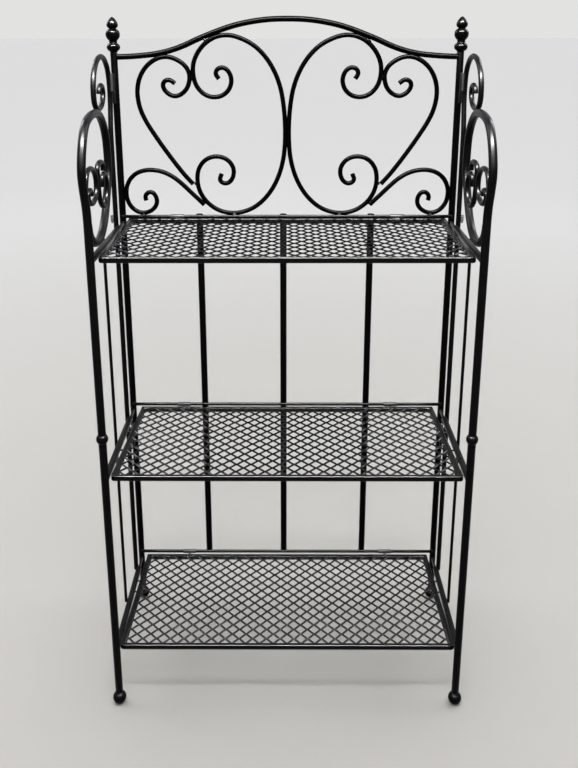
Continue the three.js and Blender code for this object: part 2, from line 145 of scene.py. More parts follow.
# ---------------------------------------------------------------- materials
def painted(name, base, rough_lo, rough_hi, bump, grain, dust_and_top_sheen, spec):
    """Powder-coated metal: a black coat with fine orange peel, uneven gloss and, on the faces
    that look up, a little dust and a painted sheen: a lighter grey that stands in for the light they catch from above."""
    mat = bpy.data.materials.new(name)
    mat.use_nodes = True
    nt = mat.node_tree
    nodes, links = nt.nodes, nt.links
    bsdf = nodes["Principled BSDF"]
    bsdf.inputs["Metallic"].default_value = 0.0
    bsdf.inputs["Specular IOR Level"].default_value = spec
    bsdf.inputs["IOR"].default_value = 1.5
    coord = nodes.new("ShaderNodeTexCoord")

    cloud = nodes.new("ShaderNodeTexNoise")
    cloud.inputs["Scale"].default_value = 38.0
    cloud.inputs["Detail"].default_value = 5.0
    cloud.inputs["Roughness"].default_value = 0.62
    links.new(coord.outputs["Object"], cloud.inputs["Vector"])
    gloss = nodes.new("ShaderNodeMapRange")
    gloss.inputs["From Min"].default_value = 0.3
    gloss.inputs["From Max"].default_value = 0.7
    gloss.inputs["To Min"].default_value = rough_lo
    gloss.inputs["To Max"].default_value = rough_hi
    links.new(cloud.outputs["Fac"], gloss.inputs["Value"])
    links.new(gloss.outputs["Result"], bsdf.inputs["Roughness"])

    speck = nodes.new("ShaderNodeTexNoise")
    speck.inputs["Scale"].default_value = 420.0
    speck.inputs["Detail"].default_value = 3.0
    links.new(coord.outputs["Object"], speck.inputs["Vector"])
    tone = nodes.new("ShaderNodeValToRGB")
    tone.color_ramp.elements[0].position = 0.32
    tone.color_ramp.elements[0].color = (*[c * 0.72 for c in base], 1)
    tone.color_ramp.elements[1].position = 0.75
    tone.color_ramp.elements[1].color = (*[c * 1.45 for c in base], 1)
    links.new(speck.outputs["Fac"], tone.inputs["Fac"])

    geo = nodes.new("ShaderNodeNewGeometry")
    split = nodes.new("ShaderNodeSeparateXYZ")
    links.new(geo.outputs["Normal"], split.inputs["Vector"])
    # Faces that look up get a lighter grey: partly dust, partly a painted sheen for the light they catch from above.
    up = nodes.new("ShaderNodeMapRange")
    up.inputs["From Min"].default_value = 0.45
    up.inputs["From Max"].default_value = 1.0
    up.inputs["To Min"].default_value = 0.0
    up.inputs["To Max"].default_value = dust_and_top_sheen
    links.new(split.outputs["Z"], up.inputs["Value"])
    patch = nodes.new("ShaderNodeTexNoise")
    patch.inputs["Scale"].default_value = 16.0
    patch.inputs["Detail"].default_value = 6.0
    patch.inputs["Roughness"].default_value = 0.7
    links.new(coord.outputs["Object"], patch.inputs["Vector"])
    top_dust_and_sheen = nodes.new("ShaderNodeMath")
    top_dust_and_sheen.operation = "MULTIPLY"
    links.new(up.outputs["Result"], top_dust_and_sheen.inputs[0])
    links.new(patch.outputs["Fac"], top_dust_and_sheen.inputs[1])
    mix = nodes.new("ShaderNodeMix")
    mix.data_type = "RGBA"
    links.new(top_dust_and_sheen.outputs["Value"], mix.inputs["Factor"])
    links.new(tone.outputs["Color"], mix.inputs["A"])
    # The lighter grey of the dust and the painted top sheen.
    mix.inputs["B"].default_value = (0.23, 0.225, 0.235, 1)
    links.new(mix.outputs["Result"], bsdf.inputs["Base Color"])

    peel = nodes.new("ShaderNodeTexNoise")
    peel.inputs["Scale"].default_value = grain
    peel.inputs["Detail"].default_value = 2.0
    links.new(coord.outputs["Object"], peel.inputs["Vector"])
    bumps = nodes.new("ShaderNodeBump")
    bumps.inputs["Strength"].default_value = bump
    bumps.inputs["Distance"].default_value = 0.0004
    links.new(peel.outputs["Fac"], bumps.inputs["Height"])
    links.new(bumps.outputs["Normal"], bsdf.inputs["Normal"])
    return mat


# The seventh number sets how much dust and painted top sheen the up-facing faces get.
M_FRAME = painted("black_coat", (0.0012, 0.0012, 0.0014), 0.14, 0.23, 0.035, 620.0, 0.04, 0.07)
M_BACK = painted("black_coat_back", (0.0012, 0.0012, 0.0014), 0.20, 0.30, 0.035, 620.0, 0.04, 0.027)
M_CREST = painted("black_coat_crest", (0.0012, 0.0012, 0.0014), 0.24, 0.34, 0.035, 620.0, 0.03, 0.007)
M_SIDE = painted("black_coat_side", (0.0012, 0.0012, 0.0014), 0.27, 0.36, 0.035, 620.0, 0.04, 0.042)
M_MESH = painted("black_coat_mesh", (0.0012, 0.0012, 0.0014), 0.18, 0.28, 0.06, 700.0, 0.04, 0.08)
M_HINGE = painted("black_coat_hinge", (0.005, 0.005, 0.0055), 0.2, 0.32, 0.06, 500.0, 0.1, 0.13)
# The clips' coat is a lighter grey than the frame's, with more of the dust and painted top sheen.
M_CLIP = painted("lighter_coat_clip", (0.05, 0.05, 0.053), 0.30, 0.42, 0.10, 500.0, 0.3, 0.05)
M_LUG = painted("grey_lug", (0.17, 0.18, 0.165), 0.36, 0.5, 0.10, 500.0, 0.2, 0.25)


# --------------------------------------------------------------- mesh helpers
def build(name, verts, faces, body, slot, mat, stands_for=(), sharp=34, smooth=True):
    """Makes a piece from millimetre vertices and puts it on its body."""
    me = bpy.data.meshes.new(name)
    me.from_pydata([tuple(c / 1000 for c in v) for v in verts], [], faces)
    bm = bmesh.new()
    bm.from_mesh(me)
    bmesh.ops.recalc_face_normals(bm, faces=bm.faces)
    bm.to_mesh(me)
    bm.free()
    return place(name, me, body, slot, mat, stands_for, sharp, smooth)


def place(name, me, body, slot, mat, stands_for=(), sharp=34, smooth=True):
    if smooth:
        me.shade_smooth()
        me.set_sharp_from_angle(angle=math.radians(sharp))
    me.materials.append(mat)
    ob = bpy.data.objects.new(name, me)
    bpy.context.scene.collection.objects.link(ob)
    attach(ob, body)
    if stands_for:
        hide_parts(*stands_for)
    return ob


class Soup:
    """Collects closed shells that belong to one piece."""

    def __init__(self):
        self.verts, self.faces = [], []

    def add(self, verts, faces):
        k = len(self.verts)
        self.verts += [tuple(v) for v in verts]
        self.faces += [tuple(i + k for i in f) for f in faces]
        return self


def curve_points(points, step=2.6, smooth=6):
    """Centripetal Catmull-Rom through the points, evenly spaced, lightly faired."""
    pts = [np.array(p, float) for p in points]
    ext = [2 * pts[0] - pts[1]] + pts + [2 * pts[-1] - pts[-2]]
    dense = []
    for i in range(len(pts) - 1):
        p0, p1, p2, p3 = ext[i:i + 4]
        t0 = 0.0
        t1 = t0 + np.linalg.norm(p1 - p0) ** 0.5
        t2 = t1 + np.linalg.norm(p2 - p1) ** 0.5
        t3 = t2 + np.linalg.norm(p3 - p2) ** 0.5
        for s in np.linspace(0, 1, 24, endpoint=False):
            t = t1 + (t2 - t1) * s
            a1 = (t1 - t) / (t1 - t0) * p0 + (t - t0) / (t1 - t0) * p1
            a2 = (t2 - t) / (t2 - t1) * p1 + (t - t1) / (t2 - t1) * p2
            a3 = (t3 - t) / (t3 - t2) * p2 + (t - t2) / (t3 - t2) * p3
            b1 = (t2 - t) / (t2 - t0) * a1 + (t - t0) / (t2 - t0) * a2
            b2 = (t3 - t) / (t3 - t1) * a2 + (t - t1) / (t3 - t1) * a3
            dense.append((t2 - t) / (t2 - t1) * b1 + (t - t1) / (t2 - t1) * b2)
    dense.append(pts[-1])
    dense = np.array(dense)
    run = np.concatenate([[0], np.cumsum(np.linalg.norm(np.diff(dense, axis=0), axis=1))])
    n = max(8, int(round(run[-1] / step)))
    even = np.stack([np.interp(np.linspace(0, run[-1], n + 1), run, dense[:, k]) for k in range(3)], 1)
    for _ in range(smooth):
        inner = even[1:-1] + 0.5 * ((even[:-2] + even[2:]) / 2 - even[1:-1])
        grow = inner + 0.51 * (inner - np.vstack([even[:1], inner, even[-1:]])[:-2] * 0.5
                               - np.vstack([even[:1], inner, even[-1:]])[2:] * 0.5)
        even[1:-1] = grow
    return even


def frames_along(pts):
    """Rotation-minimising frames: tangent, first and second side of each point."""
    n = len(pts)
    tan = np.zeros_like(pts)
    tan[1:-1] = pts[2:] - pts[:-2]
    tan[0] = pts[1] - pts[0]
    tan[-1] = pts[-1] - pts[-2]
    tan /= np.linalg.norm(tan, axis=1)[:, None]
    first = np.cross(tan[0], [0.31, 0.17, 0.93])
    if np.linalg.norm(first) < 0.2:
        first = np.cross(tan[0], [1.0, 0.0, 0.0])
    first /= np.linalg.norm(first)
    sides = [first]
    for i in range(1, n):
        s = sides[-1] - tan[i] * np.dot(sides[-1], tan[i])
        sides.append(s / np.linalg.norm(s))
    sides = np.array(sides)
    return tan, sides, np.cross(tan, sides)


def tube(pts, radius, sides=20, soft=0.7, ends=(True, True)):
    """A closed round rod along the points, its cut ends slightly rounded over."""
    pts = np.array([list(p) for p in pts], float)
    tan, a, b = frames_along(pts)
    rings = []
    angle = np.arange(sides) / sides * 2 * math.pi
    cs, sn = np.cos(angle), np.sin(angle)

    def ring(p, i, r):
        rings.append(p + (a[i][None] * cs[:, None] + b[i][None] * sn[:, None]) * r)

    ring(pts[0], 0, radius - soft)
    ring(pts[0] + tan[0] * soft * 0.3, 0, radius - soft * 0.3)
    ring(pts[0] + tan[0] * soft, 0, radius)
    for i in range(1, len(pts) - 1):
        if np.dot(pts[i] - pts[0], tan[0]) < soft * 1.2 and i < 2:
            continue
        ring(pts[i], i, radius)
    ring(pts[-1] - tan[-1] * soft, len(pts) - 1, radius)
    ring(pts[-1] - tan[-1] * soft * 0.3, len(pts) - 1, radius - soft * 0.3)
    ring(pts[-1], len(pts) - 1, radius - soft)
    verts = np.concatenate(rings)
    faces = []
    for k in range(len(rings) - 1):
        for i in range(sides):
            j = (i + 1) % sides
            faces.append((k * sides + i, k * sides + j, (k + 1) * sides + j, (k + 1) * sides + i))
    faces.append(tuple(range(sides - 1, -1, -1)))
    faces.append(tuple((len(rings) - 1) * sides + i for i in range(sides)))
    return [tuple(v) for v in verts], faces


def straight(p, q, radius, sides=20, soft=0.7, pieces=1):
    p, q = np.array(list(p), float), np.array(list(q), float)
    return tube([p + (q - p) * t for t in np.linspace(0, 1, pieces + 2)], radius, sides, soft)


def lathe(x, y, profile, segments=40):
    """Turned solid on a vertical axis from (radius, height) pairs. A profile that
    starts and ends on the axis closes there, and any other closes on itself."""
    verts, faces, rows = [], [], []
    for r, z in profile:
        if r < 1e-6:
            rows.append([len(verts)])
            verts.append(tuple(at(x, y, z)))
        else:
            row = []
            for i in range(segments):
                t = i / segments * 2 * math.pi
                row.append(len(verts))
                verts.append(tuple(at(x + r * math.cos(t), y + r * math.sin(t), z)))
            rows.append(row)
    pairs = list(zip(rows[:-1], rows[1:]))
    if len(rows[0]) > 1 and len(rows[-1]) > 1:
        pairs.append((rows[-1], rows[0]))
    for lo, hi in pairs:
        for i in range(segments):
            j = (i + 1) % segments
            if len(lo) == 1:
                faces.append((lo[0], hi[j], hi[i]))
            elif len(hi) == 1:
                faces.append((lo[i], lo[j], hi[0]))
            else:
                faces.append((lo[i], lo[j], hi[j], hi[i]))
    return verts, faces


def fair_profile(points, per=5):
    """A smooth run through (radius, height) pairs, for turned work."""
    p3 = [(r, 0.0, z) for r, z in points]
    pts = curve_points(p3, step=0.9, smooth=0)
    return [(max(p[0], 0.0), p[2]) for p in pts]


def arc(radius, centre, from_r, to_r, steps):
    a0, a1 = -math.acos(from_r / radius), math.acos(to_r / radius)
    return [
        (radius * math.cos(a0 + (a1 - a0) * i / steps), centre + radius * math.sin(a0 + (a1 - a0) * i / steps))
        for i in range(steps + 1)
    ]


def extrude_outline(outline, lo, hi, axis, edge=0.5, segments=2):
    """A closed plate or bar: a 2-D outline run from lo to hi along an axis, with
    rounded edges. For axis x the outline is (depth, height), for z it is (x, depth),
    and for y it is (x, height)."""
    bm = bmesh.new()
    spot = {
        "x": lambda u, v, w: at(w, u, v),
        "y": lambda u, v, w: at(u, w, v),
        "z": lambda u, v, w: at(u, v, w),
    }[axis]
    low = [bm.verts.new(spot(u, v, lo)) for u, v in outline]
    high = [bm.verts.new(spot(u, v, hi)) for u, v in outline]
    bm.faces.new(low)
    bm.faces.new(high)
    n = len(outline)
    for i in range(n):
        j = (i + 1) % n
        bm.faces.new((low[i], low[j], high[j], high[i]))
    bmesh.ops.recalc_face_normals(bm, faces=bm.faces)
    if edge:
        hard = [e for e in bm.edges if e.calc_face_angle(0) > math.radians(40)]
        bmesh.ops.bevel(bm, geom=hard, offset=edge, segments=segments, profile=0.5,
                        affect="EDGES", clamp_overlap=True)
    verts = [tuple(v.co) for v in bm.verts]
    bm.verts.index_update()
    faces = [tuple(v.index for v in f.verts) for f in bm.faces]
    bm.free()
    return verts, faces


def weld_bead(centre, size, stretch=(0, 0, 1), long=1.0, seed=1):
    """A small uneven lump of weld metal under the paint."""
    bm = bmesh.new()
    bmesh.ops.create_icosphere(bm, subdivisions=3, radius=1.0)
    along = Vector(stretch).normalized()
    offset = Vector((seed * 3.7, seed * 1.9, seed * 0.7))
    for v in bm.verts:
        n = v.co.copy()
        lump = 1 + 0.16 * noise.noise(n * 1.7 + offset) + 0.05 * noise.noise(n * 4.5 + offset)
        ripple = 1 + 0.05 * math.sin(9 * n.dot(along) * long + seed)
        flat = n - along * n.dot(along)
        v.co = centre + (flat * lump * ripple + along * n.dot(along) * long * lump) * size
    bm.verts.index_update()
    verts = [tuple(v.co) for v in bm.verts]
    faces = [tuple(v.index for v in f.verts) for f in bm.faces]
    bm.free()
    return verts, faces


welds = {b: Soup() for b in ("back_frame", "left_side_frame", "right_side_frame",
                             "bottom_shelf", "middle_shelf", "top_shelf")}
bead_count = [0]


def weld(body, x, y, z, size, along=(0, 0, 1), long=1.0):
    bead_count[0] += 1
    welds[body].add(*weld_bead(at(x, y, z), size, along, long, bead_count[0]))


# ----------------------------------------------------------------- back frame
BF = "back_frame"


def frame_piece(name, verts, faces, body, node, sharp=34):
    coat = M_SIDE if body != BF else M_CREST if node.startswith(("arch", "outer", "centre", "lower_scroll")) else M_BACK
    return build(name, verts, faces, body, "frame_paint", coat, (node,), sharp)


FINIAL = [
    (7.0, 1199.2), (7.3, 1200.9), (8.9, 1202.0), (11.0, 1203.8), (12.2, 1206.3), (12.5, 1208.5),
    (12.1, 1210.9), (10.8, 1213.3), (8.7, 1215.0), (7.1, 1216.2), (7.5, 1217.4), (7.7, 1218.6),
    (7.3, 1219.9), (8.4, 1221.3), (10.9, 1224.2), (12.8, 1228.0), (13.2, 1232.2), (12.3, 1236.6), (9.6, 1239.9), (6.8, 1241.8),
    (6.6, 1242.6), (8.6, 1243.8), (10.2, 1246.4), (10.5, 1249.4), (9.4, 1253.4), (6.8, 1257.6),
    (3.6, 1261.2), (1.2, 1262.8),
]

for side, s in SIDES.items():
    x = s * BACK_POST_X
    frame_piece(f"back_post_{side}_round", *straight(at(x, BACK_Y, 15), at(x, BACK_Y, BACK_POST_TOP), BACK_POST_R, 28, 0.6, 12),
                BF, f"back_post_{side}")
    frame_piece(f"finial_{side}_turned", *lathe(x, BACK_Y, [(0, 1198.9), (6.4, 1198.9)] + fair_profile(FINIAL) + [(0, 1263.1)], 44),
                BF, f"finial_{side}", 60)
    centre = math.sqrt(FOOT_R ** 2 - 25)
    frame_piece(f"back_foot_{side}_ball", *lathe(x, BACK_Y, [(0, 0)] + arc(FOOT_R, centre, 5, 7.4, 26) + [
        (7.6, centre + 10.4), (7.5, centre + 11.2), (6.9, centre + 11.9), (6.3, centre + 12.3), (0, centre + 12.3)], 44),
        BF, f"back_foot_{side}")

arch = [(-x, z) for x, z in reversed(ARCH[1:])] + ARCH
frame_piece("arch_rail_bent", *tube(curve_points([at(x, BACK_Y, z) for x, z in arch], 5.0, 4), ARCH_R, 24, 0.3), BF, "arch_rail")
for s in (-1, 1):
    weld(BF, s * 318.0, BACK_Y - 1.0, 1190.8, 4.6, (1, 0, 0), 0.55)
    weld(BF, s * 318.6, BACK_Y - 0.5, 1194.6, 2.6, (1, 0, 0), 0.8)

for place_name, x in BACK_BAR_X.items():
    frame_piece(f"back_bar_{place_name}_round",
                *straight(at(x, BACK_Y, RAIL_Z["bottom"] - 5), at(x, BACK_Y, RAIL_Z["top"] + 3), BACK_BAR_R, 28, 0.6, 8),
                BF, f"back_bar_{place_name}")
    for level in LEVELS:
        for t in (-1, 1):
            weld(BF, x + t * 4.6, 293.2, RAIL_Z[level] - 0.6, 2.2, (0.8, 0, 0.3), 1.3)

for level in LEVELS:
    z = RAIL_Z[level]
    frame_piece(f"rear_rail_{level}_round", *straight(at(-RAIL_HALF, RAIL_Y, z), at(RAIL_HALF, RAIL_Y, z), RAIL_R, 24, 0.6, 8),
                BF, f"rear_rail_{level}")
    for s in (-1, 1):
        weld(BF, s * 320.6, 293.0, z + 0.4, 2.5, (0, 0, 1), 1.2)

for side, s in SIDES.items():
    for label, shape in (("outer", OUTER_SCROLL), ("centre", CENTRE_SCROLL), ("lower", LOWER_SCROLL)):
        pts = curve_points([at(s * x, STRIP_Y, z) for x, z in shape], 2.4, 8)
        frame_piece(f"{label}_scroll_{side}_bent", *tube(pts, STRIP_R, 20, 0.45), BF, f"{label}_scroll_{side}")
    weld(BF, s * 233.5, 298.6, 1194.4, 2.6, (1, 0, -0.2), 2.6)          # outer scroll to arch
    weld(BF, s * 151.5, 298.6, 1220.6, 2.7, (1, 0, -0.6), 2.6)          # centre scroll to arch
    weld(BF, s * 180.6, 297.0, 1153.0, 2.3, (0, 0, 1), 2.8)             # centre to outer scroll
    weld(BF, s * 178.6, 297.0, 950.6, 2.4, (0, 0, 1), 1.5)              # outer scroll's foot
    weld(BF, s * 161.2, 297.0, 911.6, 2.2, (1, 0, 0.8), 1.8)            # lower scroll's foot
    weld(BF, s * 318.0, 298.2, 928.0, 2.6, (0, 0, 1), 1.7)              # lower scroll to post
    weld(BF, s * 103.0, 293.8, 888.8, 2.1, (1, 0, 0), 2.4)              # centre scroll to rail
    weld(BF, s * 282.0, 293.8, 888.9, 2.1, (1, 0, 0), 1.9)              # lower scroll to rail
weld(BF, 0, 297.2, 1050.0, 2.2, (0, 0, 1), 5.6)

# -------------------------------------------------------------------- shelves
LONG_WAY = 604.0 / 23.0
ROWS = 21


def shelf_half(level, y):
    t = (y - SHELF_FRONT) / (SHELF_REAR - SHELF_FRONT)
    return FRONT_HALF[level] + (REAR_HALF[level] - FRONT_HALF[level]) * t


REAR_RISE = {"bottom": 0.0, "middle": 0.0, "top": 2.6}


def shelf_frame(level):
    """A rectangle of square tube with eased edges: rounded at the front corners,
    mitred at the back."""
    half = SHELF_BAR / 2
    z0, z1 = LEVEL[level] - SHELF_TALL, LEVEL[level]
    zc, hz = (z0 + z1) / 2, (z1 - z0) / 2
    yf, yr = SHELF_FRONT + half, SHELF_REAR - half
    x, xr = shelf_half(level, yf) - half, shelf_half(level, yr) - half
    path = [(-xr, yr)]
    rr = 2.6
    for cx, cy, a0 in ((-x + rr, yf + rr, math.pi), (x - rr, yf + rr, 1.5 * math.pi)):
        for i in range(6):
            a = a0 + i / 5 * math.pi / 2
            path.append((cx + rr * math.cos(a), cy + rr * math.sin(a)))
    path.append((xr, yr))
    r = 1.7
    section = []
    for sx, sz, a0 in ((1, 1, 0), (-1, 1, 90), (-1, -1, 180), (1, -1, 270)):
        for i in range(5):
            a = math.radians(a0 + i * 22.5)
            section.append((sx * (half - r) + r * math.cos(a), sz * (hz - r) + r * math.sin(a)))
    n, m = len(path), len(section)
    verts, faces = [], []
    for k in range(n):
        p0, p1, p2 = Vector(path[k - 1]), Vector(path[k]), Vector(path[(k + 1) % n])
        d0, d1 = (p1 - p0).normalized(), (p2 - p1).normalized()
        n0, n1 = Vector((d0.y, -d0.x)), Vector((d1.y, -d1.x))
        mit = (n0 + n1).normalized()
        mit /= max(0.3, mit.dot(n0))
        for u, v in section:
            verts.append(tuple(at(p1.x + mit.x * u, p1.y + mit.y * u, zc + v)))
    for k in range(n):
        for i in range(m):
            a, b = k * m + i, k * m + (i + 1) % m
            c, d = ((k + 1) % n) * m + (i + 1) % m, ((k + 1) % n) * m + i
            faces.append((a, b, c, d))
    soup = Soup().add(verts, faces)
    return soup.verts, soup.faces


def shelf_mesh(level, seed):
    """Expanded metal: zigzag strands that join at flat bonds and make diamonds."""
    rng = random.Random(seed)
    y0, y1 = SHELF_FRONT + SHELF_BAR - 0.6, SHELF_REAR - SHELF_BAR + 0.6
    zc = LEVEL[level] - 1.9
    pitch = (y1 - y0) / ROWS
    bond = 1.5
    width, thick = (1.5, 0.65) if level == "top" else (1.78, 0.8)
    soup = Soup()
    section = [(1, 0.45), (0.8, 1), (-0.8, 1), (-1, 0.45), (-1, -0.45), (-0.8, -1), (0.8, -1), (1, -0.45)]
    half = LONG_WAY / 2
    for k in range(ROWS):
        yc = y0 + (k + 0.5) * pitch
        x1 = shelf_half(level, yc) - SHELF_BAR + 0.6
        sign = 1 if k % 2 == 0 else -1
        amp = pitch / 2 - width * 0.72
        pts = []
        i = 0
        x = -302.0 - LONG_WAY / 2
        count = 48
        for i in range(count + 1):
            crest = -sign * (1 if i % 2 == 0 else -1)
            cx = x + i * half
            wob = rng.uniform(-0.16, 0.16)
            for dx in (-bond, 0.0, bond):
                pts.append((cx + dx, yc + crest * amp + wob * 0.4, zc + crest * 0.34))
            if i < count:
                pts.append((cx + half / 2, yc + wob, zc))
        pts = [p for p in pts if -x1 - 0.01 <= p[0] <= x1 + 0.01]
        first, last = pts[0], pts[-1]
        if first[0] > -x1 + 0.3:
            pts.insert(0, (-x1, first[1], first[2]))
        if last[0] < x1 - 0.3:
            pts.append((x1, last[1], last[2]))
        n, m = len(pts), len(section)
        lean = math.radians(24)
        verts, faces = [], []
        for j in range(n):
            a = Vector(pts[max(j - 1, 0)])
            b = Vector(pts[min(j + 1, n - 1)])
            t = (b - a).normalized()
            side = Vector((-t.y, t.x, 0)).normalized()
            up = side.cross(t) * -1
            if up.z < 0:
                up = -up
            u_dir = side * math.cos(lean) + up * math.sin(lean)
            v_dir = up * math.cos(lean) - side * math.sin(lean)
            mid = Vector(pts[j])
            for u, v in section:
                p = mid + u_dir * (u * width) + v_dir * (v * thick)
                verts.append(tuple(at(p.x, p.y, p.z)))
        for j in range(n - 1):
            for i in range(m):
                q = (i + 1) % m
                faces.append((j * m + i, j * m + q, (j + 1) * m + q, (j + 1) * m + i))
        faces.append(tuple(range(m - 1, -1, -1)))
        faces.append(tuple((n - 1) * m + i for i in range(m)))
        soup.add(verts, faces)
    for s in (-1, 1):                        # the sheet's uncut margins, welded to the side bars
        lo, hi = shelf_half(level, y0) - SHELF_BAR, shelf_half(level, y1) - SHELF_BAR
        margin = [(s * (lo + 0.5), y0), (s * (hi + 0.5), y1), (s * (hi - 3.6), y1), (s * (lo - 3.6), y0)]
        soup.add(*extrude_outline(margin, zc - 0.7, zc + 0.9, "z", 0.4, 2))
    return soup.verts, soup.faces


def hinge_knuckle(level, x0, x1):
    """Sheet metal rolled round the rail, with a tab that runs on to the rear bar."""
    z = RAIL_Z[level]
    base = LEVEL[level] + REAR_RISE[level] + 0.25
    inner, outer = 3.42, 4.35
    steps = 30
    start, turn = math.radians(214), math.radians(-344)
    spin = [start + turn * i / steps for i in range(steps + 1)]
    roll = [(RAIL_Y + outer * math.cos(a), z + outer * math.sin(a)) for a in spin]
    roll += [(RAIL_Y + inner * math.cos(a), z + inner * math.sin(a)) for a in reversed(spin)]
    soup = Soup().add(*extrude_outline(roll, x0, x1, "x", 0.2, 2))
    xm = (x0 + x1) / 2
    tab = [(SHELF_REAR - SHELF_BAR + 1.5, base), (RAIL_Y - 3.6, base), (RAIL_Y - 3.6, base + 1.0),
           (SHELF_REAR - SHELF_BAR + 1.5, base + 1.0)]
    soup.add(*extrude_outline(tab, xm - 3.5, xm + 3.5, "x", 0.25, 2))
    return soup.verts, soup.faces


def lifted(level, verts, faces):
    """The top shelf's rear edge sits a little high, close under its rail."""
    deep = SHELF_REAR - SHELF_FRONT
    return [Vector((v[0], v[1], v[2] + REAR_RISE[level] * min(1, max(0, (v[1] + DEPTH_CENTRE - SHELF_FRONT) / deep))))
            for v in verts], faces


for li, level in enumerate(LEVELS):
    body = f"{level}_shelf"
    build(f"{level}_shelf_tube_frame", *lifted(level, *shelf_frame(level)), body, "frame_paint", M_FRAME, (f"{level}_shelf_frame",), 40)
    build(f"{level}_shelf_expanded_mesh", *lifted(level, *shelf_mesh(level, 11 + li)), body, "mesh_paint", M_MESH, (f"{level}_shelf_mesh",), 30)
    for side, (x0, x1) in CLIPS.items():
        build(f"{level}_clip_{side}_knuckle", *hinge_knuckle(level, x0, x1), body, "hinge_paint", M_CLIP, (f"{level}_clip_{side}",), 30)
        weld(body, (x0 + x1) / 2, SHELF_REAR - SHELF_BAR + 1.4, LEVEL[level] + REAR_RISE[level] + 0.5, 1.1, (1, 0, 0), 2.2)

